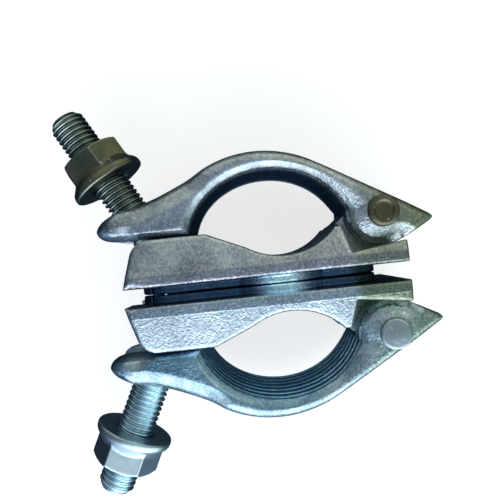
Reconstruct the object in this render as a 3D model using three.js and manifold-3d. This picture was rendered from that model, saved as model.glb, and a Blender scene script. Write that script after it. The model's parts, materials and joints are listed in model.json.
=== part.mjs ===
// Swivel scaffold coupler for 48.3 mm tube: two drop-forged half couplers, back to back on one rivet.
// Millimetres. X runs along the base plates, Y is the swivel axis, Z is the bore direction and up.
// The coupler lies on its side, with its base plates on edge at z = 0.
import * as THREE from 'three';
import { mergeVertices } from 'three/addons/utils/BufferGeometryUtils.js';
import Module from 'manifold-3d';

const wasm = await Module();
wasm.setup();

// Fits
const GAP = 0.3; // between pieces that touch
const OVER = 5; // how far a cutter runs past what it cuts
const ROUND = 40; // sides on a round piece

// Forged body, measured from the swivel plane and the swivel axis
const TUBE_R = 24.15;
const HALF_WIDTH = 25;
const BACK_Y = 3.1;
const LAND_Y = 0.15;
const LAND = { left: -53, right: 33, half: 17.5, corner: 12 };
const BOSS = { x: -2, rx: 27, rz: 21 };
const PLATE_LEFT = -57.2;
const PLATE_RIGHT = 42;
const BAND_TOP = 7.2; // the straight edge of the plate, below the drafted cheek
const DRAFT = 2.8; // how far the cheek leans in over its height
const BLOCK_TOP = 19.7;
const BLOCK_LEAN = 2.8;
const BLOCK_CORNER = 7;
const BLOCK_SLOPE_X = -27;
const SADDLE_Y = 9.7;
const SADDLE_LEFT_X = -13;
const CUSP_X = 18;
const CUSP_FLAT = 2.2;
const CHEEK_FOOT_X = 23;
const RIB_TOP = { left: 8.2, right: 10.7 };
const RIB_INNER = 21.2;
const SHELF_Y = 5.1;

// Hinge
const PIN = { x: 35.5, y: 21.5, r: 4 };
const PIN_HEAD = { r: 5.6, height: 1.7 };
const LUG_R = 8;
const LUG_HALF = 8;
const LUG_FLANK = { x: 19, y: 18.5, angle: 125 };

// Flap
const FLAP_HALF = 20.5;
const FLAP_SLOT_HALF = 8.4;
const FLAP_TOP = 60; // higher than any of the flap
const CHEEK_R = 12.2;
const ARCH_IN = { x: -4.4, y: 16, rx: 29, ry: 24.5, from: 169.5, to: 22 }; // an oval, and degrees along it
const ARCH_OUT = { x: -7.3, y: 16, rx: 36.3, ry: 31.5, from: 56, to: 122 };
const SHOULDER = { x: -44, y: 34.8 }; // where the arch's back has straightened into the fork's
const BEAK = { x: 54.8, y: 17.8 };
const FORK_TIP = { x: -67.6, y: 24.4 };
const FORK_BROW = { x: FORK_TIP.x + 9, y: FORK_TIP.y + 6.4 }; // where the fork's back turns down to its tip
const FORK_SLOT = { half: 8.2, rootX: -37.8 };
const UNDERSIDE = { x: FORK_TIP.x + 10, y: 20.3 }; // where the fork's underside becomes flat

// Swing bolt and nut
const PIVOT = { x: -42.5, y: 8.5 };
const BOLT = { r: 6.9, length: 71, chamfer: 1.2 };
const LEAN = { upper: 30, lower: 25.5 }; // degrees outwards from upright
const T_HEAD = { r: 5.6, half: 14.6 };
const BOLT_SLOT_HALF = 7.9;
const NUT = { flangeR: 14.5, flangeHeight: 2.4, coneR: 11, coneTop: 6.5, acrossFlats: 22, height: 14 };
const NUT_AT = { upper: 40.5, lower: 47 }; // flange face to pivot
const NUT_TURN = { upper: -13, lower: 35 }; // degrees around the bolt

// Swivel rivet
const RIVET = { shankR: 7.7, headR: 11.5, headFrom: 5.6, headTo: 8.9 };

const FINISH = {
  forged: { color: 0xa9b4ba, roughness: 0.42, metalness: 0.9 },
  pin: { color: 0x8d979b, roughness: 0.38, metalness: 0.9 },
  bolt: { color: 0x9fb2b8, roughness: 0.3, metalness: 0.95 },
  nut: { color: 0x8f9a98, roughness: 0.32, metalness: 0.95 },
};

const rad = THREE.MathUtils.degToRad;

function onOval({ x, y, rx, ry }, degrees) {
  return new THREE.Vector2(x + rx * Math.cos(rad(degrees)), y + ry * Math.sin(rad(degrees)));
}

function onCircle({ x, y }, r, degrees) {
  return onOval({ x, y, rx: r, ry: r }, degrees);
}

// Points along an oval between two angles in degrees, both ends included.
function oval(shape, steps) {
  const at = (i) => onOval(shape, shape.from + ((shape.to - shape.from) * i) / steps);
  return Array.from({ length: steps + 1 }, (_, i) => at(i));
}

function arc({ x, y }, r, from, to, steps) {
  return oval({ x, y, rx: r, ry: r, from, to }, steps);
}

// A cubic curve's points after its start.
function curve(pairs, steps) {
  return new THREE.CubicBezierCurve(...points(...pairs)).getPoints(steps).slice(1);
}

function solid(geometry) {
  const bare = geometry.index ? geometry.toNonIndexed() : geometry.clone();
  bare.deleteAttribute('normal');
  bare.deleteAttribute('uv');
  const merged = mergeVertices(bare, 1e-4);
  const vertProperties = new Float32Array(merged.attributes.position.array);
  const triVerts = new Uint32Array(merged.index.array);
  return new wasm.Manifold(new wasm.Mesh({ numProp: 3, vertProperties, triVerts }));
}

function named(name, body, finish) {
  const { vertProperties, triVerts } = body.getMesh();
  const geometry = new THREE.BufferGeometry();
  geometry.setAttribute('position', new THREE.BufferAttribute(new Float32Array(vertProperties), 3));
  geometry.setIndex(new THREE.BufferAttribute(new Uint32Array(triVerts), 1));
  geometry.computeVertexNormals();
  const mesh = new THREE.Mesh(geometry, new THREE.MeshStandardMaterial(FINISH[finish]));
  mesh.name = name;
  return mesh;
}

// An XY outline, extruded along Z to the same depth on both sides of the middle.
function slab(points, half) {
  const shape = new THREE.Shape(points);
  const geometry = new THREE.ExtrudeGeometry(shape, { depth: 2 * half, bevelEnabled: false });
  return solid(geometry.translate(0, 0, -half));
}

// A (z, y) cross-section, run along X.
function bar(points, fromX, toX) {
  const shape = new THREE.Shape(points.map(([z, y]) => new THREE.Vector2(-z, y)));
  const geometry = new THREE.ExtrudeGeometry(shape, { depth: toX - fromX, bevelEnabled: false });
  return solid(geometry.rotateY(Math.PI / 2).translate(fromX, 0, 0));
}

// An (x, z) plan outline, run along Y.
function plan(points, fromY, toY) {
  const shape = new THREE.Shape(points);
  const geometry = new THREE.ExtrudeGeometry(shape, { depth: toY - fromY, bevelEnabled: false });
  return solid(geometry.rotateX(Math.PI / 2).translate(0, toY, 0));
}

function points(...pairs) {
  return pairs.map(([x, y]) => new THREE.Vector2(x, y));
}

function beside([x, y], right, up) {
  return [x + right, y + up];
}

// A round rod along Z.
function rodZ(at, r, fromZ, toZ, sides = ROUND) {
  const geometry = new THREE.CylinderGeometry(r, r, toZ - fromZ, sides).rotateX(Math.PI / 2);
  return solid(geometry.translate(at.x, at.y, (fromZ + toZ) / 2));
}

// A solid of revolution about Y, from (radius, y) pairs that start and end on the axis.
function turned(pairs, sides = ROUND) {
  return solid(new THREE.LatheGeometry(points(...pairs), sides));
}

function bodyOutline() {
  const bore = { x: 0, y: SADDLE_Y + TUBE_R };
  const angleAt = (x) => (Math.atan2(-Math.sqrt(TUBE_R ** 2 - x ** 2), x) * 180) / Math.PI;
  const topLeft = PLATE_LEFT + BLOCK_LEAN;
  const corner = { x: topLeft + BLOCK_CORNER, y: BLOCK_TOP - BLOCK_CORNER };
  const saddle = arc(bore, TUBE_R, angleAt(CUSP_X), angleAt(SADDLE_LEFT_X), 20);
  return [
    ...points([PLATE_LEFT, BACK_Y], [PLATE_RIGHT, BACK_Y], [PLATE_RIGHT, RIB_TOP.right]),
    ...points([CHEEK_FOOT_X, RIB_TOP.left], [CUSP_X + CUSP_FLAT, saddle[0].y]),
    ...saddle,
    ...points([BLOCK_SLOPE_X, BLOCK_TOP]),
    ...arc(corner, BLOCK_CORNER, 90, 170, 5),
  ];
}

// Straight edge band, then a cheek that leans in: the draft of the forging die.
function bodySection() {
  const lean = HALF_WIDTH - DRAFT;
  const top = BLOCK_TOP + 1;
  const left = [[-lean, top], [-HALF_WIDTH, BAND_TOP], [-HALF_WIDTH, 0]];
  const right = [[HALF_WIDTH, 0], [HALF_WIDTH, BAND_TOP], [lean, top]];
  return bar([...left, ...right], PLATE_LEFT - OVER, PLATE_RIGHT + OVER);
}

function lug() {
  const tangent = onCircle(PIN, LUG_R, LUG_FLANK.angle);
  const inside = { x: CUSP_X - 3, y: SHELF_Y - 1 };
  const foot = points([PLATE_RIGHT - 1, inside.y], [inside.x, inside.y], [inside.x, 14]);
  const neck = [...foot, ...points([LUG_FLANK.x, LUG_FLANK.y]), tangent, ...points([PIN.x + LUG_R, PIN.y])];
  return slab(neck, LUG_HALF).add(rodZ(PIN, LUG_R, -LUG_HALF, LUG_HALF));
}

// The raised land that turns against the other half's, and the wider boss around the rivet.
function land() {
  const { left, right, half, corner } = LAND;
  const turn = (x, z, from) => arc({ x, y: z }, corner, from, from + 90, 6);
  const rim = [
    ...turn(right - corner, half - corner, 0),
    ...turn(left + corner, half - corner, 90),
    ...turn(left + corner, corner - half, 180),
    ...turn(right - corner, corner - half, 270),
  ];
  const boss = oval({ x: BOSS.x, y: 0, rx: BOSS.rx, ry: BOSS.rz, from: 0, to: 352.5 }, 47);
  return plan(boss, LAND_Y, BACK_Y + 1).add(plan(rim, LAND_Y, BACK_Y + 1));
}

// The seat under the flap's cheeks, open to the right end, with a rib left on each side.
function hingeSeat() {
  const right = PLATE_RIGHT + OVER;
  const top = BLOCK_TOP + OVER;
  const floor = [[CHEEK_FOOT_X - 1, SHELF_Y], [right, SHELF_Y]];
  return slab(points(...floor, [right, top], [CUSP_X + CUSP_FLAT, top]), RIB_INNER);
}

// Room for the bolt to swing, with a cross bore for its T-head, open to the back so that it can be put in.
function boltPocket() {
  const root = PIVOT.x + BOLT.r + 2 * GAP;
  const left = PLATE_LEFT - OVER;
  const top = BLOCK_TOP + OVER;
  const slot = slab(points([left, -1], [root, -1], [root, top], [left, top]), BOLT_SLOT_HALF);
  const r = T_HEAD.r + GAP;
  const half = T_HEAD.half + GAP;
  const mouth = points([PIVOT.x - r, -1], [PIVOT.x + r, -1], [PIVOT.x + r, PIVOT.y], [PIVOT.x - r, PIVOT.y]);
  return slot.add(rodZ(PIVOT, r, -half, half)).add(slab(mouth, half));
}

function rivetSeat() {
  const r = RIVET.shankR + GAP;
  const head = RIVET.headR + GAP;
  const step = RIVET.headFrom - GAP;
  const top = BLOCK_TOP + OVER;
  return turned([[0, -OVER], [r, -OVER], [r, step], [head, step], [head, top], [0, top]]);
}

function body(name) {
  const forging = slab(bodyOutline(), HALF_WIDTH).intersect(bodySection());
  const seated = forging.subtract(hingeSeat()).add(lug()).add(land());
  const pinHole = rodZ(PIN, PIN.r + GAP, -HALF_WIDTH, HALF_WIDTH);
  return named(name, seated.subtract(boltPocket()).subtract(rivetSeat()).subtract(pinHole), 'forged');
}

function flapOutline() {
  const outer = oval(ARCH_OUT, 14);
  const inner = oval(ARCH_IN, 22);
  return [
    ...points([BEAK.x, BEAK.y]),
    ...outer,
    ...forkOutline(outer.at(-1)),
    ...points([inner[0].x - 1, UNDERSIDE.y]),
    ...inner,
    ...arc(PIN, CHEEK_R, 170, 296, 12),
  ];
}

// From the arch's back to the fork's flat underside.
function forkOutline(start) {
  const from = [start.x, start.y];
  const shoulder = [SHOULDER.x, SHOULDER.y];
  const brow = [FORK_BROW.x, FORK_BROW.y];
  const tip = [FORK_TIP.x, FORK_TIP.y];
  const under = [UNDERSIDE.x, UNDERSIDE.y];
  return [
    ...curve([from, beside(from, -5.5, -3), beside(shoulder, 6, 2.2), shoulder], 6),
    ...curve([shoulder, beside(shoulder, -6, -2.1), beside(brow, 5, 1.8), brow], 3),
    ...curve([brow, beside(brow, -5, -2), beside(tip, 0, 2.4), tip], 5),
    ...curve([tip, beside(tip, 0.7, -2.6), beside(under, -6, 0.1), under], 4),
  ];
}

// The fork narrows to its rounded end.
function flapPlan() {
  const side = [[FORK_TIP.x - 1, 14], [FORK_TIP.x + 2, 17.2], [FORK_TIP.x + 7, 19], [-40, FLAP_HALF]];
  const near = [...side, [BEAK.x + 1, FLAP_HALF]];
  const far = near.map(([x, z]) => [x, -z]);
  return plan(points(...far, ...near.reverse()), 0, FLAP_TOP);
}

function forkSlot() {
  const centre = { x: FORK_SLOT.rootX - FORK_SLOT.half, y: 0 };
  const root = arc(centre, FORK_SLOT.half, -90, 90, 12);
  const mouth = FORK_TIP.x - OVER;
  const outline = [...points([mouth, -FORK_SLOT.half]), ...root, ...points([mouth, FORK_SLOT.half])];
  return plan(outline, 0, FLAP_TOP);
}

// Between the cheeks: room for the body's lug at every angle of the hinge.
function knuckleSlot() {
  const r = LUG_R + 0.8;
  const flank = onCircle(PIN, r, LUG_FLANK.angle);
  const run = 24;
  const away = onCircle({ x: flank.x, y: flank.y }, run, LUG_FLANK.angle + 90 + 7);
  const right = BEAK.x + OVER;
  const below = points([away.x, 0], [right, 0], [right, PIN.y + r]);
  return slab([...below, ...arc(PIN, r, 90, LUG_FLANK.angle, 5), away], FLAP_SLOT_HALF);
}

function flap(name) {
  const blank = slab(flapOutline(), FLAP_HALF).intersect(flapPlan());
  const pinHole = rodZ(PIN, PIN.r + GAP, -HALF_WIDTH, HALF_WIDTH);
  return named(name, blank.subtract(forkSlot()).subtract(knuckleSlot()).subtract(pinHole), 'forged');
}

function hingePin(name) {
  const seat = FLAP_HALF + GAP;
  const rim = seat + 0.6 * PIN_HEAD.height;
  const top = seat + PIN_HEAD.height;
  const head = [[PIN.r, seat], [PIN_HEAD.r, seat], [PIN_HEAD.r, rim], [0.8 * PIN_HEAD.r, top], [0, top]];
  const tail = head.map(([r, y]) => [r, -y]).reverse();
  const geometry = new THREE.LatheGeometry(points(...tail, ...head), ROUND).rotateX(Math.PI / 2);
  return named(name, solid(geometry.translate(PIN.x, PIN.y, 0)), 'pin');
}

function swingBolt(name) {
  const { r, length, chamfer } = BOLT;
  const end = [[r, length - chamfer], [r - chamfer, length], [0, length]];
  const shank = turned([[0, 0], [r, 0], ...end]);
  const centre = { x: 0, y: 0 };
  const hub = rodZ(centre, r, -r, r);
  const head = rodZ(centre, T_HEAD.r, -T_HEAD.half, T_HEAD.half);
  return named(name, shank.add(hub).add(head), 'bolt');
}

function flangeNut(name, turn) {
  const { flangeR, flangeHeight, coneR, coneTop, acrossFlats, height } = NUT;
  const flange = turned([[0, 0], [flangeR, 0], [flangeR, flangeHeight], [coneR, coneTop], [0, coneTop]]);
  const corner = acrossFlats / 2 / Math.cos(Math.PI / 6);
  const hexagon = arc({ x: 0, y: 0 }, corner, 30 + turn, 330 + turn, 5);
  const crown = acrossFlats / 2;
  const rim = corner + 1;
  const dome = turned([[0, 0], [rim, 0], [rim, height - 2.2], [crown - 0.3, height], [0, height]]);
  const hex = plan(hexagon, 1, height).intersect(dome);
  const bore = turned([[0, -1], [BOLT.r + GAP, -1], [BOLT.r + GAP, height + 1], [0, height + 1]]);
  return named(name, flange.add(hex).subtract(bore), 'nut');
}

function swivelRivet() {
  const { shankR, headR, headFrom, headTo } = RIVET;
  const edge = [[headR, headTo - 0.8], [headR - 1.5, headTo]];
  const up = [[shankR, headFrom], [headR, headFrom], ...edge, [0, headTo]];
  const down = up.map(([r, y]) => [r, -y]).reverse();
  return named('swivel_rivet', turned([...down, ...up]), 'pin');
}

// One half coupler, with its bolt leaning out of the fork and its nut part way up the thread.
function halfCoupler(side) {
  const bolt = new THREE.Group();
  bolt.position.set(PIVOT.x, PIVOT.y, 0);
  bolt.rotation.z = rad(LEAN[side]);
  const nut = flangeNut(`${side}_flange_nut`, NUT_TURN[side]);
  nut.position.y = NUT_AT[side];
  bolt.add(swingBolt(`${side}_swing_bolt`), nut);

  const half = new THREE.Group();
  half.add(body(`${side}_body`), flap(`${side}_flap`), hingePin(`${side}_hinge_pin`), bolt);
  return half;
}

const upper = halfCoupler('upper');
const lower = halfCoupler('lower');
lower.rotation.x = Math.PI;

const group = new THREE.Group();
group.add(upper, lower, swivelRivet());

// The origin is at the middle of the base of the whole coupler.
group.updateMatrixWorld(true);
const bounds = new THREE.Box3().setFromObject(group, true);
const middle = bounds.getCenter(new THREE.Vector3());
group.position.set(-middle.x, -middle.y, -bounds.min.z);
group.updateMatrixWorld(true);

export default group;
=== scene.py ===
"""Looks of the swivel scaffold coupler: forged halves, rolled threads, upset rivets and bright zinc.

Lengths are in millimetres in each half coupler's own frame, as in the CAD source: x along the base
plate, y away from the swivel plane and z along the bore. The frame's joints say where that frame is.
"""

import json
import math

import bmesh
import bpy
import numpy as np
from mathutils import Matrix, Vector


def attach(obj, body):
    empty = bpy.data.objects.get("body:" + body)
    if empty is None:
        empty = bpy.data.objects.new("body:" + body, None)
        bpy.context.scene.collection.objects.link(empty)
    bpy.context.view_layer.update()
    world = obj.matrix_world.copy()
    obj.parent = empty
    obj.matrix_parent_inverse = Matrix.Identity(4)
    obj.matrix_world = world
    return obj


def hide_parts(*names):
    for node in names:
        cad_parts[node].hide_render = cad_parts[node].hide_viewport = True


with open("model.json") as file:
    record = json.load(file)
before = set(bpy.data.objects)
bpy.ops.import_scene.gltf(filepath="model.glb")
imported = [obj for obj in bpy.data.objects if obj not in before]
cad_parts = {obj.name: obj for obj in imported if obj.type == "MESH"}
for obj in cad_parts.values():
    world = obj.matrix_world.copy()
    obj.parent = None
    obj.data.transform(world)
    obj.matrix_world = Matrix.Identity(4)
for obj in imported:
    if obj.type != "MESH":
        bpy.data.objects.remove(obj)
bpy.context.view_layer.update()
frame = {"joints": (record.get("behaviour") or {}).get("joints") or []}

MM = 0.001
GAP = 0.3  # between pieces that touch
JOINTS = {joint["name"]: joint for joint in frame["joints"]}
HALF_TURN = {"upper": 1, "lower": -1}  # the lower half is the upper one turned half round about x


def joint_at(name):
    return np.array(JOINTS[name]["pos_m"]) / MM


MIDDLE_Y = (joint_at("upper_flap_hinge")[1] + joint_at("lower_flap_hinge")[1]) / 2
MIDDLE = joint_at("swivel") * (1, 0, 1) + (0, MIDDLE_Y, 0)


def in_half(joint_name):
    """A joint's place in its own half coupler's frame."""
    x, y, _ = joint_at(joint_name) - MIDDLE
    return x, abs(y)


# Forged body
TUBE_R = 24.15
HALF_WIDTH = 25.0
BACK_Y = 3.1  # the plate's back
LAND_Y = 0.15  # the face of the land and the boss, which stand on the plate's back
LAND_LEFT, LAND_RIGHT, LAND_HALF, LAND_CORNER = -53.0, 33.0, 17.5, 12.0
BOSS_X, BOSS_LONG, BOSS_WIDE = -2.0, 27.0, 21.0
PLATE_LEFT, PLATE_RIGHT = -57.2, 42.0
BAND_TOP = 7.2  # the straight edge of the plate, below the drafted cheek
DRAFT = 2.8
BLOCK_TOP = 19.7
BLOCK_LEAN, BLOCK_CORNER, BLOCK_SLOPE_X = 2.8, 7.0, -27.0
SADDLE_Y, SADDLE_LEFT_X = 9.7, -13.0
CUSP_X, CUSP_FLAT = 18.0, 2.2
CHEEK_FOOT_X = 23.0
RIB_LEFT_Y, RIB_RIGHT_Y, RIB_INNER, SHELF_Y = 8.2, 10.7, 21.2, 5.1

# Hinge
PIN_X, PIN_Y = in_half("upper_flap_hinge")
PIN_R, PIN_HOLE_R = 4.0, 4.3
PIN_HEAD_R, PIN_HEAD_H, PIN_SEAT = 5.6, 1.7, 20.8
LUG_R, LUG_HALF = 8.0, 8.0
FLANK_X, FLANK_Y, FLANK_ANGLE = 19.0, 18.5, 125.0
KNUCKLE_R = LUG_R + 0.8  # the room that the flap leaves around the lug

# Flap
FLAP_HALF, KNUCKLE_HALF, CHEEK_R = 20.5, 8.4, 12.2
ARCH_X, ARCH_Y = -4.4, 16.0  # the inside of the arch is an oval
ARCH_WIDE, ARCH_HIGH = 29.0, 24.5
ARCH_FROM, ARCH_TO = 169.5, 22.0  # degrees along it
BACK_X, BACK_WIDE, BACK_HIGH = -7.3, 36.3, 31.5  # and its back is another one
BACK_FROM, BACK_TO = 56.0, 122.0
SHOULDER_X, SHOULDER_Y = -44.0, 34.8  # where the back has straightened into the fork's
BEAK_X, BEAK_Y = 54.8, 17.8
TIP_X, TIP_Y = -67.6, 24.4
BROW_X, BROW_Y = TIP_X + 9, TIP_Y + 6.4  # where the fork's back turns down to its tip
UNDERSIDE_X, UNDERSIDE_Y = TIP_X + 10, 20.3  # where the fork's underside becomes flat
FORK_HALF, FORK_ROOT = 8.2, -37.8
FACET_WIDE = 6.4  # the bevel along the fork's back
GROOVES, GROOVE_STEP, GROOVE_HALF, GROOVE_DEEP = 7, 5.3, 0.8, 1.0
GROOVE_END_Y = 18.5  # they stop above the fork

# Bolt, nut and swivel rivet
PIVOT_X, PIVOT_Y = in_half("upper_bolt_swing")
BOLT_R, BOLT_ROOT_R, BOLT_LENGTH, PITCH, THREAD_FROM = 6.9, 5.8, 71.0, 2.0, 15.0
NECK_R = BOLT_R - 0.5  # of the plain shank below the thread
T_HEAD_R, T_HEAD_HALF, BOLT_SLOT_HALF = 5.6, 14.6, 7.9
NUT_FLANGE_R, NUT_FLANGE_H = 14.5, 2.4
NUT_CONE_R, NUT_CONE_H = 11.0, 6.5
NUT_FLATS, NUT_H, NUT_BORE_R = 22.0, 14.0, 7.2
NUT_MOUTH = 0.9  # how far the bore's mouths open out
NUT_AT = {"upper": 40.5, "lower": 47.0}  # along the bolt from its pivot
NUT_TURN = {"upper": -13.0, "lower": 35.0}  # degrees
RIVET_SHANK, RIVET_HEAD, RIVET_FROM, RIVET_TO = 7.7, 11.5, 5.6, 8.9

# Roundings of the forged edges, and of the machined ones
EDGE, SEAT_EDGE, SLOT_EDGE, SOFT_EDGE = 1.2, 1.5, 0.9, 0.8
CUT_EDGE = 0.5
LUG_FILLET, LAND_FILLET, HUB_FILLET, NECK_FILLET = 1.6, 0.4, 1.2, 1.0

# Meshing
VOXEL = 0.45
HEAD_VOXEL = min(VOXEL, 0.4)
NUT_VOXEL = VOXEL * 0.62
NEAR_AXIS = 0.02  # radius, or share of one, of the small end rings that close_ends merges
BODY_BOX = (-58, 0, -25.5), (45, 30, 25.5)  # each box holds all of its piece
FLAP_BOX = (-68.2, 8.5, -20.8), (55.2, 48, 20.8)
HEAD_BOX = (-7.2, -7.2, -15), (7.2, THREAD_FROM + 1.5, 15)
NUT_BOX = (-14.6, 0, -14.6), (14.6, NUT_H, 14.6)


def rad(degrees):
    return math.radians(degrees)


# ---------------------------------------------------------------- outlines


def oval(x, y, wide, high, start, end, steps):
    """Points along an oval between two angles in degrees, both ends included."""
    turn = np.radians(np.linspace(start, end, steps + 1))
    return [(x + wide * math.cos(t), y + high * math.sin(t)) for t in turn]


def arc(x, y, r, start, end, steps):
    return oval(x, y, r, r, start, end, steps)


def bezier(p0, p1, p2, p3, steps):
    """Points after p0 on a cubic curve."""
    t = np.linspace(0, 1, steps + 1)[1:, None]
    p0, p1, p2, p3 = map(np.array, (p0, p1, p2, p3))
    curve = (1 - t) ** 3 * p0 + 3 * (1 - t) ** 2 * t * p1 + 3 * (1 - t) * t**2 * p2 + t**3 * p3
    return [tuple(p) for p in curve]


def saddle_angle(x):
    """Where the tube's circle has this x on its lower side, in degrees."""
    return math.degrees(math.atan2(-math.sqrt(TUBE_R**2 - x**2), x))


def body_outline():
    """From the plate's left end along its back, up the hinge end, and over the saddle and block."""
    saddle_ends = saddle_angle(CUSP_X), saddle_angle(SADDLE_LEFT_X)
    saddle = arc(0, SADDLE_Y + TUBE_R, TUBE_R, *saddle_ends, 30)
    right = [(PLATE_RIGHT, BACK_Y), (PLATE_RIGHT, RIB_RIGHT_Y), (CHEEK_FOOT_X, RIB_LEFT_Y)]
    cusp = [(CUSP_X + CUSP_FLAT, saddle[0][1])]
    corner_x = PLATE_LEFT + BLOCK_LEAN + BLOCK_CORNER
    corner = arc(corner_x, BLOCK_TOP - BLOCK_CORNER, BLOCK_CORNER, 90, 170, 8)
    return [(PLATE_LEFT, BACK_Y), *right, *cusp, *saddle, (BLOCK_SLOPE_X, BLOCK_TOP), *corner]


def around_pin(r, degrees):
    return PIN_X + r * math.cos(rad(degrees)), PIN_Y + r * math.sin(rad(degrees))


def lug_outline():
    """The lug's flank and foot, which its round end is added to."""
    tangent = around_pin(LUG_R, FLANK_ANGLE)
    foot = [(PLATE_RIGHT - 1, SHELF_Y - 1), (CUSP_X - 3, SHELF_Y - 1), (CUSP_X - 3, 14)]
    return [*foot, (FLANK_X, FLANK_Y), tangent, (PIN_X + LUG_R, PIN_Y)]


def flap_outer():
    """From the beak's tip over the arch to the fork's tip, and under it to the heel."""
    over = oval(BACK_X, ARCH_Y, BACK_WIDE, BACK_HIGH, BACK_FROM, BACK_TO, 28)
    x, y = over[-1]
    shoulder, brow = (SHOULDER_X, SHOULDER_Y), (BROW_X, BROW_Y)
    tip, under = (TIP_X, TIP_Y), (UNDERSIDE_X, UNDERSIDE_Y)
    back = bezier(over[-1], (x - 5.5, y - 3), (SHOULDER_X + 6, SHOULDER_Y + 2.2), shoulder, 12)
    fork = bezier(shoulder, (SHOULDER_X - 6, SHOULDER_Y - 2.1), (BROW_X + 5, BROW_Y + 1.8), brow, 8)
    nose = bezier(brow, (BROW_X - 5, BROW_Y - 2), (TIP_X, TIP_Y + 2.4), tip, 10)
    chin = bezier(tip, (TIP_X + 0.7, TIP_Y - 2.6), (UNDERSIDE_X - 6, UNDERSIDE_Y + 0.1), under, 8)
    return [(BEAK_X, BEAK_Y), *over, *back, *fork, *nose, *chin]


def flap_inner():
    """From the heel round the inside of the arch and the cheek, to the beak."""
    inner = oval(ARCH_X, ARCH_Y, ARCH_WIDE, ARCH_HIGH, ARCH_FROM, ARCH_TO, 44)
    cheek = arc(PIN_X, PIN_Y, CHEEK_R, 170, 296, 24)
    return [(inner[0][0] - 1, UNDERSIDE_Y), *inner, *cheek]


def flap_plan():
    """The flap from above the arch, (x, z): it narrows towards the fork's tip."""
    side = [(TIP_X - 1, 14), (TIP_X + 2, 17.2), (TIP_X + 7, 19), (-40, FLAP_HALF)]
    near = [*side, (BEAK_X + 1, FLAP_HALF)]
    return [*near, *[(x, -z) for x, z in reversed(near)]]


def fork_slot_plan():
    """The fork's slot, (x, z), with a round root."""
    root = arc(FORK_ROOT - FORK_HALF, 0, FORK_HALF, -90, 90, 20)
    return [(TIP_X - 9, -FORK_HALF), *root, (TIP_X - 9, FORK_HALF)]


def knuckle_outline():
    """The slot in the flap that the body's lugs stand in."""
    x, y = around_pin(KNUCKLE_R, FLANK_ANGLE)
    lean = rad(FLANK_ANGLE + 97)
    away = (x + 24 * math.cos(lean), y + 24 * math.sin(lean))
    right = BEAK_X + 5
    around = arc(PIN_X, PIN_Y, KNUCKLE_R, 90, FLANK_ANGLE, 8)
    return [(away[0], 0), (right, 0), (right, PIN_Y + KNUCKLE_R), *around, away]


# ---------------------------------------------------------------- distance fields


def polygon(points, x, y):
    """Signed distance to a closed outline, negative inside."""
    inside = np.zeros(np.broadcast(x, y).shape, bool)
    nearest = np.full(inside.shape, 1e9)
    for (ax, ay), (bx, by) in zip(points, [*points[1:], points[0]]):
        nearest = np.minimum(nearest, to_segment(ax, ay, bx, by, x, y))
        if ay != by:
            crosses = (ay > y) != (by > y)
            inside ^= crosses & (x < (bx - ax) * (y - ay) / (by - ay) + ax)
    return np.where(inside, -1.0, 1.0) * np.sqrt(nearest)


def to_segment(ax, ay, bx, by, x, y):
    """Squared distance to a segment."""
    ex, ey = bx - ax, by - ay
    along = ((x - ax) * ex + (y - ay) * ey) / max(ex * ex + ey * ey, 1e-9)
    along = np.clip(along, 0, 1)
    return (x - ax - along * ex) ** 2 + (y - ay - along * ey) ** 2


def line_distance(points, x, y):
    """Distance to an open polyline."""
    nearest = np.full(np.broadcast(x, y).shape, 1e9)
    for (ax, ay), (bx, by) in zip(points, points[1:]):
        nearest = np.minimum(nearest, to_segment(ax, ay, bx, by, x, y))
    return np.sqrt(nearest)


def to_oval(x, y, wide, high):
    """Close to the signed distance to an oval, near to its line."""
    u, v = x / wide, y / high
    out = np.hypot(u, v) + 1e-6
    return (out - 1) * out / (np.hypot(u / wide, v / high) + 1e-6)


def ease(value, start, end):
    """A smooth share, from 0 at the start to 1 at the end. The end may be the lower of the two."""
    share = np.clip((value - start) / (end - start), 0, 1)
    return share * share * (3 - 2 * share)


def both(a, b, r):
    """Where both fields are solid, with the edge between them rounded to about r."""
    ax, bx = np.maximum(a + r, 0), np.maximum(b + r, 0)
    return np.minimum(np.maximum(a, b), -r) + np.sqrt(ax * ax + bx * bx)


def either(a, b, r):
    """Where either field is solid, with a fillet of about r between them."""
    return -both(-a, -b, r)


def without(a, b, r):
    return both(a, -b, r)


def to_pin(x, y):
    return np.hypot(x - PIN_X, y - PIN_Y)


def to_arch(x, y):
    return to_oval(x - ARCH_X, y - ARCH_Y, ARCH_WIDE, ARCH_HIGH)


def grid(low, high, voxel):
    """Open coordinate arrays around a box, and where they start."""
    axes = [np.arange(a - 2 * voxel, b + 2.5 * voxel, voxel) for a, b in zip(low, high)]
    x, y, z = np.meshgrid(*axes, indexing="ij", sparse=True)
    return x, y, z, np.array([axis[0] for axis in axes])


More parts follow.
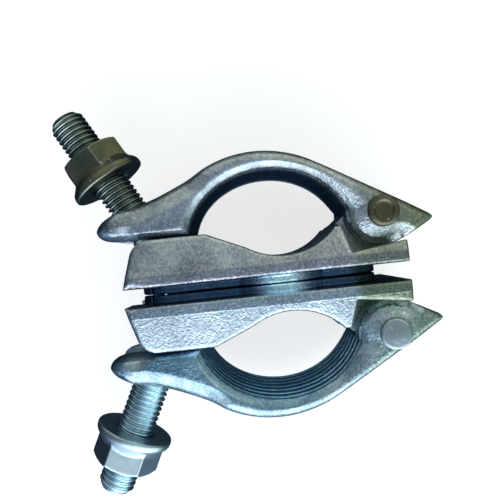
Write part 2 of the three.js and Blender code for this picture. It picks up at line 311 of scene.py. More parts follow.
def surface(field, origin, voxel):
    """The zero surface of a field as quads, one vertex in each cell that it crosses."""
    cells = tuple(n - 1 for n in field.shape)
    total = np.zeros((*cells, 3))
    count = np.zeros(cells)
    quads = []
    index = np.full(cells, -1)
    edges = []
    for axis in range(3):
        low = [slice(None)] * 3
        high = [slice(None)] * 3
        low[axis], high[axis] = slice(0, -1), slice(1, None)
        first, second = field[tuple(low)], field[tuple(high)]
        crossing = np.argwhere((first < 0) != (second < 0))
        others = [a for a in range(3) if a != axis]
        limit = np.array(field.shape)
        keep = np.all((crossing[:, others] > 0) & (crossing[:, others] < limit[others] - 1), axis=1)
        crossing = crossing[keep]
        at = tuple(crossing.T)
        share = first[at] / (first[at] - second[at])
        point = crossing.astype(float)
        point[:, axis] += share
        ring = []
        for step_a, step_b in ((0, 0), (1, 0), (1, 1), (0, 1)):
            cell = crossing.copy()
            cell[:, others[0]] -= step_a
            cell[:, others[1]] -= step_b
            np.add.at(total, tuple(cell.T), point)
            np.add.at(count, tuple(cell.T), 1)
            ring.append(cell)
        edges.append((axis, ring, first[at] < 0))
    used = np.argwhere(count > 0)
    index[tuple(used.T)] = np.arange(len(used))
    vertices = total[tuple(used.T)] / count[tuple(used.T)][:, None]
    for axis, ring, solid_first in edges:
        quad = np.stack([index[tuple(cell.T)] for cell in ring], axis=1)
        turn = solid_first if axis == 1 else ~solid_first
        quad[turn] = quad[turn][:, ::-1]
        quads.append(quad)
    return origin + vertices * voxel, np.concatenate(quads)


# ---------------------------------------------------------------- meshes


def to_object(name, vertices, faces, masks=None):
    """A mesh object in metres from arrays in millimetres in the row's frame, with its points' masks."""
    faces = np.asarray(faces)
    mesh = bpy.data.meshes.new(name)
    mesh.vertices.add(len(vertices))
    mesh.vertices.foreach_set("co", (np.asarray(vertices) * MM).astype(np.float32).ravel())
    mesh.loops.add(faces.size)
    mesh.loops.foreach_set("vertex_index", faces.astype(np.int32).ravel())
    mesh.polygons.add(len(faces))
    mesh.polygons.foreach_set("loop_start", np.arange(0, faces.size, faces.shape[1], dtype=np.int32))
    mesh.polygons.foreach_set("use_smooth", np.ones(len(faces), bool))
    mesh.update(calc_edges=True)
    for mask, share in (masks or {}).items():
        mesh.attributes.new(mask, "FLOAT", "POINT").data.foreach_set("value", share.astype(np.float32))
    mesh.validate()
    piece = bpy.data.objects.new(name, mesh)
    bpy.context.collection.objects.link(piece)
    return piece


def place(vertices, side):
    """From a half coupler's frame to the row's frame."""
    turn = HALF_TURN[side]
    return np.asarray(vertices) * (1, turn, turn) + MIDDLE


def place_on_bolt(vertices, side):
    """From the bolt's frame, y along its shank from its pivot, to the row's frame."""
    out_x, out_y, _ = JOINTS[f"{side}_nut_travel"]["axis"]
    lean = math.atan2(-out_x, abs(out_y))
    c, s = math.cos(lean), math.sin(lean)
    v = np.asarray(vertices)
    turned = np.stack([c * v[:, 0] - s * v[:, 1], s * v[:, 0] + c * v[:, 1], v[:, 2]], axis=1)
    return place(turned + (PIVOT_X, PIVOT_Y, 0), side)


def body_field(x, y, z):
    """The body before its cuts: the block and plate, the flap's seat, the lugs and the land."""
    flat_x, flat_y = x[:, :, 0], y[:, :, 0]
    outline = polygon(body_outline(), flat_x, flat_y)[:, :, None]
    width = HALF_WIDTH - DRAFT * np.maximum(y - BAND_TOP, 0) / (BLOCK_TOP + 1 - BAND_TOP)
    rounder = 1.5 * ease(x, -48, -55)  # towards the bolt end
    solid = both(outline, abs(z) - width, EDGE + rounder)
    seat_right, seat_top = PLATE_RIGHT + 9, 40
    seat = [(CHEEK_FOOT_X - 1, SHELF_Y), (seat_right, SHELF_Y), (seat_right, seat_top)]
    seat = polygon([*seat, (CUSP_X + CUSP_FLAT, seat_top)], flat_x, flat_y)[:, :, None]
    solid = without(solid, both(seat, abs(z) - RIB_INNER, SEAT_EDGE), SOFT_EDGE)
    lug = np.minimum(polygon(lug_outline(), flat_x, flat_y), to_pin(flat_x, flat_y) - LUG_R)[:, :, None]
    solid = either(solid, both(lug, abs(z) - LUG_HALF, EDGE), LUG_FILLET)
    land = np.minimum(to_oval(x - BOSS_X, z, BOSS_LONG, BOSS_WIDE), to_land(x, z))
    land = both(land, np.maximum(LAND_Y - y, y - BACK_Y - 1), CUT_EDGE)
    return either(solid, land, LAND_FILLET)


def to_land(x, z):
    """Signed distance to the land's outline, a rectangle with round corners."""
    out_x = abs(x - (LAND_LEFT + LAND_RIGHT) / 2) - (LAND_RIGHT - LAND_LEFT) / 2 + LAND_CORNER
    out_z = abs(z) - LAND_HALF + LAND_CORNER
    outside = np.hypot(np.maximum(out_x, 0), np.maximum(out_z, 0))
    return outside + np.minimum(np.maximum(out_x, out_z), 0) - LAND_CORNER


def body_cuts(solid, x, y, z):
    """Cuts the bolt's slot, the T-head's pocket, the swivel rivet's seat and the pin's hole."""
    root = PIVOT_X + BOLT_R + 2 * GAP
    slot = np.maximum(abs(z) - BOLT_SLOT_HALF, x - root)
    solid = without(solid, slot, SLOT_EDGE)
    cross = np.hypot(x - PIVOT_X, y - PIVOT_Y)
    mouth = np.maximum(abs(x - PIVOT_X), y - PIVOT_Y)
    cross = np.minimum(cross, mouth) - T_HEAD_R - GAP
    solid = without(solid, np.maximum(cross, abs(z) - T_HEAD_HALF - GAP), CUT_EDGE)
    from_axis = np.hypot(x, z)
    head = np.maximum(from_axis - RIVET_HEAD - GAP, RIVET_FROM - GAP - y)
    solid = without(solid, np.minimum(from_axis - RIVET_SHANK - GAP, head), CUT_EDGE)
    return without(solid, to_pin(x, y) - PIN_HOLE_R, CUT_EDGE)


def body_masks(x, y, z):
    """Shares from 0 to 1: painted shade in the gap, a painted highlight on the bare boss in it, a
    painted olive reflection at the hinge end, and the edge band.
    """
    on_boss = ease(abs(z), BOSS_WIDE - 2.5, BOSS_WIDE - 0.2) * ease(abs(x - BOSS_X), 14, 2)
    in_gap = ease(y, BACK_Y + 0.5, BACK_Y - 0.2)
    on_side = ease(abs(z), HALF_WIDTH - 0.7, HALF_WIDTH - 0.2)
    return {
        # painted shade in the gap between the plates
        "recess": in_gap * (1 - on_boss),
        # painted highlight on the bare boss in the gap
        "boss": in_gap * on_boss,
        # painted olive reflection towards the hinge end
        "olive": ease(x, 20, 27),
        "band": on_side * ease(y, BAND_TOP + 0.2, BAND_TOP - 0.1),
    }


def forged_body(side):
    x, y, z, origin = grid(*BODY_BOX, VOXEL)
    solid = body_cuts(body_field(x, y, z), x, y, z)
    vertices, quads = surface(solid, origin, VOXEL)
    masks = body_masks(*vertices.T)
    piece = to_object(f"{side}_forged_body", place(vertices, side), quads, masks)
    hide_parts(f"{side}_body")
    return piece


def flap_edges(x, y):
    """Distances from the flap's inner line, along the bore, and from its outer one."""
    return line_distance(flap_inner(), x, y), line_distance(flap_outer(), x, y)


def flap_field(x, y, z):
    """The flap before its grooves: the arch with its bevels, its two slots and the pin's hole."""
    flat_x, flat_y = x[:, :, 0], y[:, :, 0]
    plan_x, plan_z = x[:, 0, :], z[:, 0, :]
    outline = polygon([*flap_outer(), *flap_inner()], flat_x, flat_y)[:, :, None]
    width = polygon(flap_plan(), plan_x, plan_z)[:, None, :] + flap_bevels(flat_x, flat_y)[:, :, None]
    inside, outside = flap_edges(flat_x, flat_y)
    edge = 0.8 + 2.6 * inside / (inside + outside + 0.01)  # rounder on the back than in the bore
    solid = both(outline, width, edge[:, :, None])
    fork = polygon(fork_slot_plan(), plan_x, plan_z)[:, None, :]
    solid = without(solid, fork, EDGE)
    knuckle = polygon(knuckle_outline(), flat_x, flat_y)[:, :, None]
    solid = without(solid, np.maximum(knuckle, abs(z) - KNUCKLE_HALF), SOFT_EDGE)
    return without(solid, to_pin(x, y) - PIN_HOLE_R, CUT_EDGE)


def bevel(distance, width, slope):
    """How far a bevel sets the side in, at a distance from its edge."""
    return slope * np.maximum(width - distance, 0)


def flap_bevels(x, y):
    """How far the flap's sides are set in by all of its bevels."""
    inside, outside = flap_edges(x, y)
    cheek = ease(x, 18, 24)  # where the bore's bevels are wider and steeper
    band = np.minimum(3.2 + 3.3 * cheek, 0.5 * (inside + outside))
    bore = bevel(inside, 2.4, 0.5 + 0.05 * cheek) + bevel(inside, band, 0.25 + 0.15 * cheek)
    facet = bevel(outside, FACET_WIDE, 0.6) * ease(x, -22, -33) * ease(x, -64, -50)
    rim = bevel(outside, 3.6, 0.42) * ease(x, 20, 2)
    under = bevel(y, UNDERSIDE_Y + 2.2, 0.8) * ease(x, -31, -36) * ease(x, -68, -60)
    beak = 0.14 * np.clip(x - 44, 0, 9)
    return np.maximum(bore, under) + np.maximum(facet, rim) + beak


def flap_grooves(solid, x, y, z):
    """Cuts the grip grooves, which run round the inside of the arch."""
    for i in range(GROOVES):
        at = (i - (GROOVES - 1) / 2) * GROOVE_STEP
        groove = both(to_arch(x, y) - GROOVE_DEEP, abs(z - at) - GROOVE_HALF, 0.6)
        solid = without(solid, np.maximum(groove, GROOVE_END_Y - y), SLOT_EDGE)
    return solid


def flap_masks(x, y, z):
    """Shares from 0 to 1, which the painted light and the relief follow.

    Recess is painted shade deep in the bore, smooth is on the bevels, olive is a painted olive
    reflection at the hinge and navy a painted dark reflection at the tip.
    Inner and fork are painted shade away from the lit rim, on the arch and on the fork.
    """
    inside, outside = flap_edges(x, y)
    rim = 2.4 + 3.0 * ease(x, -20, -32)
    bevel_share = ease(inside, 5.0, 2.6) * ease(x, 18, 10)
    facet_share = ease(outside, FACET_WIDE, 5.0) * ease(x, -22, -30) * ease(x, -60, -54)
    return {
        # painted shade deep in the bore
        "recess": ease(to_arch(x, y), 1.6, 0.8) * ease(abs(z), 18.6, 11.0),
        "smooth": np.maximum(bevel_share, facet_share),
        # painted olive reflection towards the hinge
        "olive": ease(x, 14, 44) * (0.25 + 0.75 * ease(inside, 5.5, 7.0)),
        # painted shade on the arch and the fork, away from the lit rim
        "inner": ease(outside - rim, 0, 2) * ease(x, 16, 4),
        "fork": ease(outside - rim, 0, 2) * ease(x, -28, -44),
        # painted dark reflection at the fork's tip
        "navy": ease(x, -55, -65),
    }


def forged_flap(side):
    x, y, z, origin = grid(*FLAP_BOX, VOXEL)
    solid = flap_grooves(flap_field(x, y, z), x, y, z)
    vertices, quads = surface(solid, origin, VOXEL)
    masks = flap_masks(*vertices.T)
    piece = to_object(f"{side}_forged_flap", place(vertices, side), quads, masks)
    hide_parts(f"{side}_flap")
    return piece


def ring_quads(rings, sides):
    """Quads that join each ring of vertices to the next."""
    i, j = np.meshgrid(np.arange(rings - 1), np.arange(sides), indexing="ij")
    k = (j + 1) % sides
    quads = [i * sides + j, (i + 1) * sides + j, (i + 1) * sides + k, i * sides + k]
    return np.stack(quads, axis=-1).reshape(-1, 4)


def lathe(profile, sides):
    """Vertices and quads of a profile of (radius, y) turned about y, open where it leaves the axis."""
    profile = np.array(profile)
    turn = np.linspace(0, 2 * math.pi, sides, endpoint=False)
    rings = np.stack(
        [
            profile[:, None, 0] * np.cos(turn),
            np.broadcast_to(profile[:, None, 1], (len(profile), sides)),
            profile[:, None, 0] * np.sin(turn),
        ],
        axis=2,
    )
    return rings.reshape(-1, 3), ring_quads(len(profile), sides)


def rounded(corners, r, steps=5):
    """A polyline with each inner corner rounded."""
    result = [corners[0]]
    for before, at, after in zip(corners, corners[1:], corners[2:]):
        at, before, after = np.array(at), np.array(before), np.array(after)
        reach = min(r, 0.45 * np.linalg.norm(before - at), 0.45 * np.linalg.norm(after - at))
        start = at + (before - at) / np.linalg.norm(before - at) * reach
        end = at + (after - at) / np.linalg.norm(after - at) * reach
        for t in np.linspace(0, 1, steps + 1):
            result.append(tuple((1 - t) ** 2 * start + 2 * t * (1 - t) * at + t**2 * end))
    result.append(corners[-1])
    return result


def mirrored(profile):
    """A profile followed by its mirror image below the middle."""
    return [*profile, *[(r, -y) for r, y in reversed(profile)]]


def hinge_rivet(side):
    """The hinge pin, with an upset head at each end: dished on the upper one, crowned on the lower."""
    top = PIN_SEAT + PIN_HEAD_H
    dish = [(NEAR_AXIS, top - 0.75), (2.9, top - 0.65), (3.7, top - 0.1), (4.3, top)]
    crown = [(NEAR_AXIS, top), (2.0, top - 0.06), (3.6, top - 0.22), (4.6, top - 0.3)]
    middle = dish if side == "upper" else crown
    shoulder = [(PIN_HEAD_R - 0.3, top - 0.5), (PIN_HEAD_R, top - 1.0)]
    head = [*middle, *shoulder, (PIN_HEAD_R, PIN_SEAT), (PIN_R, PIN_SEAT)]
    vertices, quads = lathe(rounded(mirrored(head), 0.5), 96)
    turned = np.stack([vertices[:, 0], -vertices[:, 2], vertices[:, 1]], axis=1) + (PIN_X, PIN_Y, 0)
    piece = to_object(f"{side}_hinge_rivet", place(turned, side), quads)
    close_ends(piece)
    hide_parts(f"{side}_hinge_pin")
    return piece


def close_ends(piece):
    """Merges the tiny rings at the axis, fills what stays open and turns every face outwards."""
    mesh = bmesh.new()
    mesh.from_mesh(piece.data)
    bmesh.ops.remove_doubles(mesh, verts=mesh.verts, dist=1.5 * NEAR_AXIS * MM)
    bmesh.ops.holes_fill(mesh, edges=[e for e in mesh.edges if e.is_boundary], sides=0)
    bmesh.ops.recalc_face_normals(mesh, faces=mesh.faces)
    mesh.to_mesh(piece.data)
    mesh.free()


def thread_radius(phase):
    """Radius at a share of the pitch: a rolled thread with a rounded crest and root."""
    flank = np.clip((abs(phase - 0.5) - 0.07) / 0.30, 0, 1)
    flank = flank * flank * (3 - 2 * flank) * 0.35 + flank * 0.65
    return BOLT_R - (BOLT_R - BOLT_ROOT_R) * flank


def threaded_rod(sides=72, per_pitch=10):
    """The thread as a helical relief, which fades in from the neck and ends in a chamfer."""
    start, end = THREAD_FROM, BOLT_LENGTH
    rows = int((end - start) / PITCH * per_pitch) + 1
    y = np.linspace(start, end, rows)[:, None]
    turn = np.linspace(0, 2 * math.pi, sides, endpoint=False)[None, :]
    radius = thread_radius((y / PITCH - turn / (2 * math.pi)) % 1.0)
    fade = np.clip((y - start) / (1.5 * PITCH), 0, 1)
    radius = radius * fade + NECK_R * (1 - fade)
    chamfer = BOLT_ROOT_R - 0.7 + np.maximum(end - 0.2 - y, 0) * 0.9
    radius = np.minimum(radius, chamfer)
    rings = np.stack([radius * np.cos(turn), y + 0 * turn, radius * np.sin(turn)], axis=2)
    below = shrunk(rings[0], 0.6, start - 0.5)
    bottom = shrunk(below, NEAR_AXIS, start - 0.5)
    inner = shrunk(rings[-1], 0.9, end)
    cap = shrunk(rings[-1], NEAR_AXIS, end)
    vertices = np.concatenate([bottom, below, rings.reshape(-1, 3), inner, cap])
    return vertices, ring_quads(len(vertices) // sides, sides)


def shrunk(ring, scale, y):
    """A ring of vertices about the y axis, made smaller and put at another height."""
    return np.stack([scale * ring[:, 0], np.full(len(ring), y), scale * ring[:, 2]], axis=1)


def t_head():
    """The T-head, its hub and the neck that runs into the thread."""
    x, y, z, origin = grid(*HEAD_BOX, HEAD_VOXEL)
    across = np.hypot(x, y)
    head = both(across - T_HEAD_R, abs(z) - T_HEAD_HALF, EDGE)
    hub = both(across - BOLT_R, abs(z) - BOLT_R, 1.5)
    neck = both(np.hypot(x, z) - NECK_R, np.maximum(-y, y - THREAD_FROM - 0.6), 0.4)
    solid = either(either(head, hub, HUB_FILLET), neck, NECK_FILLET)
    return surface(solid, origin, HEAD_VOXEL)


def swing_bolt(side):
    head_vertices, head_quads = t_head()
    rod_vertices, rod_quads = threaded_rod()
    vertices = np.concatenate([head_vertices, rod_vertices])
    quads = np.concatenate([head_quads, rod_quads + len(head_vertices)])
    piece = to_object(f"{side}_threaded_bolt", place_on_bolt(vertices, side), quads)
    close_ends(piece)
    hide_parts(f"{side}_swing_bolt")
    return piece


def nut_field(x, y, z, turned):
    """A chamfered hexagon on a cone and a flange, with a bore that opens out at both mouths."""
    from_axis = np.hypot(x, z)
    sector = (np.arctan2(z, x) - rad(turned) + rad(30)) % rad(60) - rad(30)
    hexagon = from_axis * np.cos(sector) - NUT_FLATS / 2
    crown = (from_axis - NUT_FLATS / 2 + 0.2) * math.sin(rad(30)) + (y - NUT_H) * math.cos(rad(30))
    hexagon = both(both(hexagon, np.maximum(y - NUT_H, 1 - y), 0.45), crown, 0.35)
    cone_slope = (NUT_FLANGE_R - NUT_CONE_R) / (NUT_CONE_H - NUT_FLANGE_H)
    cone = (from_axis - NUT_FLANGE_R + cone_slope * (y - NUT_FLANGE_H)) / math.hypot(1, cone_slope)
    flange = both(from_axis - NUT_FLANGE_R, both(-y, y - NUT_CONE_H, 0.5), 0.7)
    flange = both(flange, cone, 0.6)
    solid = either(hexagon, flange, 0.7)
    mouth = NUT_BORE_R + NUT_MOUTH - np.minimum(y, NUT_H - y)
    bore = from_axis - np.maximum(NUT_BORE_R - 0.05, mouth)
    return without(solid, bore, 0.25)


def flange_nut(side):
    x, y, z, origin = grid(*NUT_BOX, NUT_VOXEL)
    vertices, quads = surface(nut_field(x, y, z, NUT_TURN[side]), origin, NUT_VOXEL)
    vertices = vertices + (0, NUT_AT[side], 0)
    piece = to_object(f"{side}_collar_nut", place_on_bolt(vertices, side), quads)
    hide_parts(f"{side}_flange_nut")
    return piece


def centre_rivet():
    """The swivel rivet, with a dished head in each half."""
    top = RIVET_TO
    dish = [(NEAR_AXIS, top - 0.8), (5.0, top - 0.8), (7.5, top - 0.05), (RIVET_HEAD - 1.6, top)]
    head = [*dish, (RIVET_HEAD, top - 0.9), (RIVET_HEAD, RIVET_FROM), (RIVET_SHANK, RIVET_FROM)]
    vertices, quads = lathe(rounded(mirrored(head), 0.7), 128)
    piece = to_object("centre_rivet", vertices + MIDDLE, quads)
    close_ends(piece)
    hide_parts("swivel_rivet")
    return piece


# ---------------------------------------------------------------- materials


class Nodes:
    """Short names for building one node material."""

    def __init__(self, name):
        self.material = bpy.data.materials.new(name)
        self.material.use_nodes = True
        self.tree = self.material.node_tree
        self.shader = self.tree.nodes["Principled BSDF"]
        self.coordinates = self.add("ShaderNodeTexCoord").outputs["Object"]

    def add(self, kind, **settings):
        node = self.tree.nodes.new(kind)
        for key, value in settings.items():
            setattr(node, key, value)
        return node

    def link(self, source, target):
        self.tree.links.new(source, target)

    def fill(self, socket, value):
        if isinstance(value, bpy.types.NodeSocket):
            self.link(value, socket)
        else:
            socket.default_value = value

    def noise(self, scale, detail=4.0, roughness=0.55, vector=None):
        node = self.add("ShaderNodeTexNoise")
        self.link(vector or self.coordinates, node.inputs["Vector"])
        node.inputs["Scale"].default_value = scale
        node.inputs["Detail"].default_value = detail
        node.inputs["Roughness"].default_value = roughness
        return node.outputs["Fac"]

    def cells(self, scale):
        node = self.add("ShaderNodeTexVoronoi", feature="SMOOTH_F1")
        self.link(self.coordinates, node.inputs["Vector"])
        node.inputs["Scale"].default_value = scale
        node.inputs["Smoothness"].default_value = 0.6
        return node.outputs["Distance"]

    def stretched(self, x, y, z):
        node = self.add("ShaderNodeMapping")
        self.link(self.coordinates, node.inputs["Vector"])
        node.inputs["Scale"].default_value = (x, y, z)
        return node.outputs["Vector"]

    def mask(self, name):
        return self.add("ShaderNodeAttribute", attribute_name=name).outputs["Fac"]

    def span(self, value, low, high, to_low=0.0, to_high=1.0):
        node = self.add("ShaderNodeMapRange")
        self.link(value, node.inputs["Value"])
        node.inputs["From Min"].default_value = low
        node.inputs["From Max"].default_value = high
        node.inputs["To Min"].default_value = to_low
        node.inputs["To Max"].default_value = to_high
        return node.outputs["Result"]

    def math(self, operation, a, b):
        node = self.add("ShaderNodeMath", operation=operation)
        self.fill(node.inputs[0], a)
        self.fill(node.inputs[1], b)
        return node.outputs["Value"]

    def blend(self, factor, a, b, mode="MIX"):
        node = self.add("ShaderNodeMix", data_type="RGBA", blend_type=mode)
        self.fill(node.inputs["Factor"], factor)
        self.fill(node.inputs["A"], (*a, 1.0) if isinstance(a, tuple) else a)
        self.fill(node.inputs["B"], (*b, 1.0) if isinstance(b, tuple) else b)
        return node.outputs["Result"]

    def bump(self, height, distance, strength=1.0, under=None):
        node = self.add("ShaderNodeBump")
        node.inputs["Distance"].default_value = distance
        node.inputs["Strength"].default_value = strength
        self.link(height, node.inputs["Height"])
        if under is not None:
            self.link(under, node.inputs["Normal"])
        return node.outputs["Normal"]

    def worn_edges(self):
        return self.span(self.add("ShaderNodeNewGeometry").outputs["Pointiness"], 0.505, 0.56)

    def set(self, name, value):
        self.fill(self.shader.inputs[name], value)


PIT = (0.36, 0.40, 0.43)  # darkens the specks
RUBBED = (0.90, 0.94, 0.96)
BRUSHED = (0.88, 0.91, 0.92)
SWELL, PEBBLES, DENTS, RIVET_DENTS = 0.0005, 0.00018, 0.00006, 0.00016  # metres of relief


def forged_zinc(name, light, shade, tint, tints_and_painted_light):
    """Zinc plate over a drop-forged skin: pebbled, cloudy, rubbed along its edges, tinted, and with
    painted shade, painted reflections and a painted highlight multiplied in where its masks are.
    """
    n = Nodes(name)
    clouds = n.span(n.noise(85, 6, 0.62), 0.36, 0.64)
    colour = n.blend(clouds, shade, light)
    colour = n.blend(n.span(n.noise(28, 3), 0.50, 0.70, 0.0, 0.6), colour, tint)
    specks = n.noise(900, 4, 0.75)
    colour = n.blend(n.span(specks, 0.34, 0.54, 0.55, 0.0), colour, PIT, "MULTIPLY")
    colour = n.blend(n.span(specks, 0.50, 0.66, 0.0, 0.35), colour, RUBBED)
    colour = n.blend(n.span(n.worn_edges(), 0, 1, 0.0, 0.5), colour, RUBBED)
    # multiplies in the tints, the painted shade, the painted reflections and the painted highlight
    for mask, multiplier in tints_and_painted_light.items():
        colour = n.blend(n.mask(mask), colour, multiplier, "MULTIPLY")
    n.set("Base Color", colour)
    n.set("Metallic", 1.0)
    grain = n.span(n.noise(900, 3), 0.3, 0.7, -0.03, 0.06)
    n.set("Roughness", n.math("ADD", n.span(clouds, 0, 1, 0.36, 0.28), grain))
    swell = n.bump(n.noise(75, 2), SWELL, 0.5)
    pebbles = n.math("ADD", n.math("MULTIPLY", n.cells(1300), 0.5), n.noise(1000, 3, 0.6))
    streaks = n.math("MULTIPLY", n.noise(1.0, 2, 0.5, n.stretched(1700, 170, 170)), n.mask("band"))
    height = n.span(n.mask("smooth"), 0, 1, 1.0, 0.35)
    relief = n.math("MULTIPLY", n.math("ADD", pebbles, streaks), height)
    n.set("Normal", n.bump(relief, PEBBLES, 1.0, swell))
    return n.material


def plain_zinc(name, light, shade, roughness, dents=DENTS):
    """Smooth zinc plate on a turned or rolled piece."""
    n = Nodes(name)
    clouds = n.span(n.noise(120, 4), 0.3, 0.7)
    colour = n.blend(clouds, shade, light)
    colour = n.blend(n.span(n.worn_edges(), 0, 1, 0.0, 0.4), colour, BRUSHED)
    n.set("Base Color", colour)
    n.set("Metallic", 1.0)
    grain = n.span(n.noise(1600, 2), 0, 1, -0.02, 0.05)
    n.set("Roughness", n.math("ADD", n.span(clouds, 0, 1, roughness + 0.06, roughness), grain))
    n.set("Normal", n.bump(n.noise(700, 3), dents, 0.5))
    return n.material


def floor_material():
    """A pale floor that glows a little, so that it stays even to its edge."""
    n = Nodes("studio_floor")
    n.set("Base Color", (0.5, 0.5, 0.5, 1.0))
    n.set("Roughness", 0.9)
    n.set("Emission Color", (1.0, 1.0, 1.0, 1.0))
    n.set("Emission Strength", 0.74)
    return n.material


def finish_piece(piece, material, body):
    """Gives a piece its material and the body that it rides on."""
    piece.data.materials.clear()
    piece.data.materials.append(material)
    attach(piece, body)


# ---------------------------------------------------------------- stage

CAMERA_AT = (-11.6, 11.7, 220.5)  # from the middle of the coupler
CAMERA_TURN = (0.24, 0.62, -6.02)  # degrees about x, y and z, from looking straight down
CAMERA_FOCAL = 574.3 / 490  # in image widths
SENSOR_WIDTH = 36.0
FLOOR_HALF = 3.0  # metres
FLOOR_GAP = 0.0002  # keeps the floor clear of the faces that lie on it
LIGHT_AIM = (0.0, 0.0, 0.025)  # the middle of the coupler


def add_camera():
    data = bpy.data.cameras.new("camera")
    data.sensor_fit = "HORIZONTAL"
    data.sensor_width = SENSOR_WIDTH
    data.lens = CAMERA_FOCAL * SENSOR_WIDTH
    data.clip_start = 0.01
    data.clip_end = 20.0
    camera = bpy.data.objects.new("camera", data)
    turn_x, turn_y, turn_z = (Matrix.Rotation(rad(a), 4, axis) for a, axis in zip(CAMERA_TURN, "XYZ"))
    turn = turn_z @ turn_y @ turn_x
    place_at = Vector((MIDDLE + CAMERA_AT) * MM)
    camera.matrix_world = Matrix.Translation(place_at) @ turn
    bpy.context.collection.objects.link(camera)
    bpy.context.scene.camera = camera


def add_floor():
    half = FLOOR_HALF
    corners = [(-half, -half, 0), (half, -half, 0), (half, half, 0), (-half, half, 0)]
    mesh = bpy.data.meshes.new("floor")
    mesh.from_pydata(corners, [], [(0, 1, 2, 3)])
    floor = bpy.data.objects.new("floor", mesh)
    floor.data.materials.append(floor_material())
    bpy.context.collection.objects.link(floor)
    floor.location.z = -FLOOR_GAP
    floor.visible_glossy = False  # the pieces reflect the world's dark table instead


def add_light(name, at, size, energy, colour):
    data = bpy.data.lights.new(name, "AREA")
    data.shape = "RECTANGLE"
    data.size, data.size_y = size
    data.energy = energy
    data.color = colour
    light = bpy.data.objects.new(name, data)
    light.location = at
    light.rotation_euler = (Vector(LIGHT_AIM) - Vector(at)).to_track_quat("-Z", "Y").to_euler()
    bpy.context.collection.objects.link(light)


def add_view():
    bpy.context.scene.view_settings.view_transform = "Standard"


WORLD_STRENGTH = 1.3
BACKDROP = (0.92, 0.92, 0.92, 1.0)
WORLD_BY_Y = (  # from the front, where the window is, to the back
    (0.00, (2.20, 2.40, 2.50)),
    (0.12, (1.75, 1.95, 2.05)),
    (0.21, (0.85, 1.00, 1.10)),
    (0.30, (0.38, 0.48, 0.55)),
    (0.40, (0.22, 0.29, 0.33)),
    (0.50, (0.20, 0.23, 0.26)),
    (0.66, (0.31, 0.34, 0.34)),
    (0.82, (0.34, 0.37, 0.35)),
    (1.00, (0.65, 0.68, 0.60)),
)
WORLD_BY_Z = (  # from straight down to straight up
    (0.00, (0.04, 0.06, 0.09)),
    (0.32, (0.08, 0.11, 0.16)),
    (0.50, (0.90, 0.92, 0.95)),
    (0.58, (1.00, 1.00, 1.00)),
    (1.00, (1.00, 1.00, 1.00)),
)
WORLD_BY_X = (  # from the bolt end to the hinge end
    (0.00, (0.30, 0.34, 0.44)),
    (0.35, (0.90, 0.92, 0.98)),
    (0.50, (1.00, 1.00, 1.00)),
    (0.70, (1.00, 1.00, 0.95)),
    (1.00, (0.70, 0.74, 0.62)),
)


def ramp(tree, value, stops):
    """A colour ramp over one part of a direction, which runs from -1 to 1."""
    spread = tree.nodes.new("ShaderNodeMapRange")
    spread.inputs["From Min"].default_value = -1.0
    tree.links.new(value, spread.inputs["Value"])
    node = tree.nodes.new("ShaderNodeValToRGB")
    elements = node.color_ramp.elements
    while len(elements) < len(stops):
        elements.new(0.5)
    for element, (at, colour) in zip(elements, stops):
        element.position = at
        element.color = (*colour, 1.0)
    tree.links.new(spread.outputs["Result"], node.inputs["Fac"])
    return node.outputs["Color"]


def add_world():
    """A room to reflect: a bright cool front, a dim overhead, an olive back and a dark table."""
    world = bpy.data.worlds.new("studio")
    world.use_nodes = True
    tree = world.node_tree
    direction = tree.nodes.new("ShaderNodeTexCoord").outputs["Generated"]
    parts = tree.nodes.new("ShaderNodeSeparateXYZ")
    tree.links.new(direction, parts.inputs["Vector"])
    colour = ramp(tree, parts.outputs["Y"], WORLD_BY_Y)
    for axis, stops in (("Z", WORLD_BY_Z), ("X", WORLD_BY_X)):
        mix = tree.nodes.new("ShaderNodeMix")
        mix.data_type, mix.blend_type = "RGBA", "MULTIPLY"
        mix.inputs["Factor"].default_value = 1.0
        tree.links.new(colour, mix.inputs["A"])
        tree.links.new(ramp(tree, parts.outputs[axis], stops), mix.inputs["B"])
        colour = mix.outputs["Result"]
    background = tree.nodes["Background"]
    tree.links.new(colour, background.inputs["Color"])
    background.inputs["Strength"].default_value = WORLD_STRENGTH
    backdrop = tree.nodes.new("ShaderNodeBackground")
    backdrop.inputs["Color"].default_value = BACKDROP
    seen = tree.nodes.new("ShaderNodeMixShader")
    tree.links.new(tree.nodes.new("ShaderNodeLightPath").outputs["Is Camera Ray"], seen.inputs["Fac"])
    tree.links.new(background.outputs["Background"], seen.inputs[1])
    tree.links.new(backdrop.outputs["Background"], seen.inputs[2])
    tree.links.new(seen.outputs["Shader"], tree.nodes["World Output"].inputs["Surface"])
    bpy.context.scene.world = world


def add_lights():
    """Two soft lamps in metres, watts and colours."""
    add_light("key", (-0.15, -0.70, 0.80), (0.9, 0.5), 1.0, (0.90, 0.97, 1.0))
    add_light("fill", (0.55, 0.35, 0.80), (0.5, 0.5), 0.6, (1.0, 0.98, 0.88))


# ---------------------------------------------------------------- assembly

add_camera()
add_view()
add_floor()
add_world()
add_lights()

# Zinc in its light, shaded and tinted patches. The halves are one forging, but the lower one is given
# bluer zinc and the upper one greyer, more olive zinc: a painted reflection of the cool front and the
# olive back.
UPPER = (0.66, 0.71, 0.74), (0.34, 0.38, 0.42), (0.44, 0.48, 0.40)
LOWER = (0.60, 0.76, 0.83), (0.28, 0.39, 0.45), (0.34, 0.48, 0.52)
LOWER_BODY = (0.54, 0.62, 0.69), (0.34, 0.42, 0.49), (0.42, 0.49, 0.55)
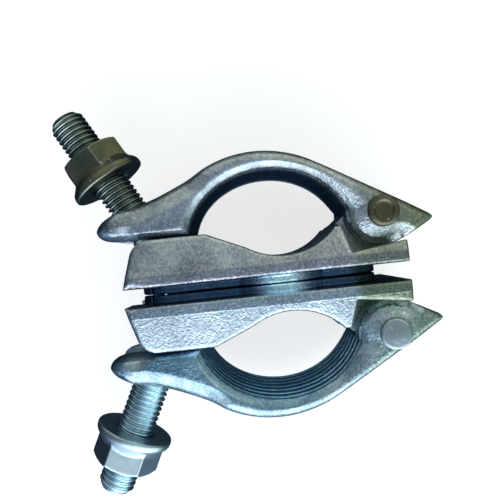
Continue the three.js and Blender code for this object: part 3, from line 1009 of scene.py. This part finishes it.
# Tints and painted light (painted shade, painted reflections, a painted highlight), which multiply the
# zinc's colour where their mask is
# the olives are a painted reflection of the room's olive back, towards the hinge end
OLIVE = (0.52, 0.54, 0.36)
FAINT_OLIVE = (0.72, 0.76, 0.62)
THIN_OLIVE = (0.68, 0.70, 0.56)
# painted dark reflection at the fork's tip
NAVY = (0.30, 0.44, 0.54)
# painted shade: in the gap between the plates and deep in the upper bore
DARK = (0.12, 0.21, 0.34)
# painted shade, tinted blue, deep in the lower bore
TEAL = (0.75, 0.95, 1.00)
BRIGHT = (1.25, 1.60, 1.75)  # painted highlight: lifts the colour of the bare boss in the gap
BODY_TINTS_AND_PAINTED_LIGHT = {
    "upper": {"olive": FAINT_OLIVE, "band": (0.72, 0.69, 0.76), "recess": DARK, "boss": BRIGHT},
    "lower": {"olive": OLIVE, "band": (0.82, 0.88, 0.94), "recess": DARK, "boss": BRIGHT},
}
# inner and fork are painted shade away from the lit rim
FLAP_PAINTED_LIGHT = {
    "upper": {"olive": OLIVE, "navy": NAVY, "recess": DARK, "inner": (0.84, 0.88, 0.96)},
    "lower": {
        "olive": THIN_OLIVE,
        "navy": NAVY,
        "recess": TEAL,
        "inner": (0.64, 0.80, 0.92),
        "fork": (0.58, 0.66, 0.68),
    },
}
BODY = {
    "upper": forged_zinc("forged_body_upper", *UPPER, BODY_TINTS_AND_PAINTED_LIGHT["upper"]),
    "lower": forged_zinc("forged_body_lower", *LOWER_BODY, BODY_TINTS_AND_PAINTED_LIGHT["lower"]),
}
FLAP = {
    "upper": forged_zinc("forged_flap_upper", *UPPER, FLAP_PAINTED_LIGHT["upper"]),
    "lower": forged_zinc("forged_flap_lower", *LOWER, FLAP_PAINTED_LIGHT["lower"]),
}
# the bolts are alike: the upper one's near-black zinc is painted shade, the lower one's bright cyan zinc
# a painted reflection of the cool front
THREAD = {
    "upper": plain_zinc("bolt_zinc_upper", (0.22, 0.28, 0.25), (0.11, 0.14, 0.12), 0.22),
    "lower": plain_zinc("bolt_zinc_lower", (0.62, 0.84, 0.93), (0.40, 0.58, 0.68), 0.20),
}
# the nuts are alike: the upper one's dark khaki zinc is painted shade
COLLAR = {
    "upper": plain_zinc("nut_zinc_upper", (0.24, 0.23, 0.12), (0.09, 0.115, 0.10), 0.26),
    "lower": plain_zinc("nut_zinc_lower", (0.56, 0.66, 0.70), (0.38, 0.46, 0.50), 0.26),
}
# the hinge rivets are alike: the upper one's near-black zinc is painted shade
RIVET = {
    "upper": plain_zinc("rivet_zinc_upper", (0.15, 0.14, 0.09), (0.08, 0.075, 0.045), 0.34),
    "lower": plain_zinc("rivet_zinc_lower", (0.54, 0.63, 0.67), (0.32, 0.39, 0.43), 0.30, RIVET_DENTS),
}

for side in HALF_TURN:
    finish_piece(forged_body(side), BODY[side], f"{side}_half")
    finish_piece(forged_flap(side), FLAP[side], f"{side}_flap")
    finish_piece(hinge_rivet(side), RIVET[side], f"{side}_half")
    finish_piece(swing_bolt(side), THREAD[side], f"{side}_bolt")
    finish_piece(flange_nut(side), COLLAR[side], f"{side}_nut")
finish_piece(centre_rivet(), RIVET["lower"], "lower_half")
